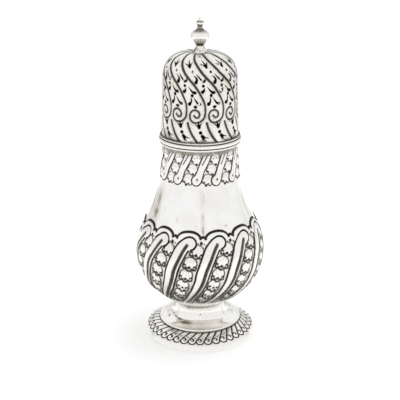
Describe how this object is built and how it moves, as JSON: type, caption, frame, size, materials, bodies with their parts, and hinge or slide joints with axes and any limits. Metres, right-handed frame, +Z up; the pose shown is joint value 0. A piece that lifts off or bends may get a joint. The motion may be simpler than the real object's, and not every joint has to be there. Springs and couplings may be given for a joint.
{
  "type": "sugar caster",
  "caption": "Vase-shaped silver sugar caster on a spreading foot, chased with swirling flutes, with a domed pierced cover that lifts off for filling and a knop finial.",
  "frame": {"origin": "centre of the foot on the table, on the axis of the caster", "axes": "+Z up along the axis of the caster, -Y towards the viewer, +X to the viewer's right"},
  "size_m": [0.081, 0.081, 0.2032],
  "materials": {
    "chased_silver": "polished sterling silver with dark oxidised recesses",
    "plain_silver": "bright polished sterling silver"
  },
  "bodies": {
    "base": {"body_shell": "chased_silver", "neck_rim": "plain_silver", "foot_dome": "plain_silver", "foot_border": "chased_silver", "foot_rim": "plain_silver"},
    "cover": {"cover_dome": "chased_silver", "cover_rim": "plain_silver", "cover_bezel": "plain_silver", "finial_collar": "plain_silver", "finial_knop": "plain_silver", "finial_tip": "plain_silver"}
  },
  "joints": [
    {"name": "cover_lift", "type": "slide", "parent": "base", "child": "cover", "axis": [0, 0, 1], "range_m": [0, 0.04]}
  ]
}
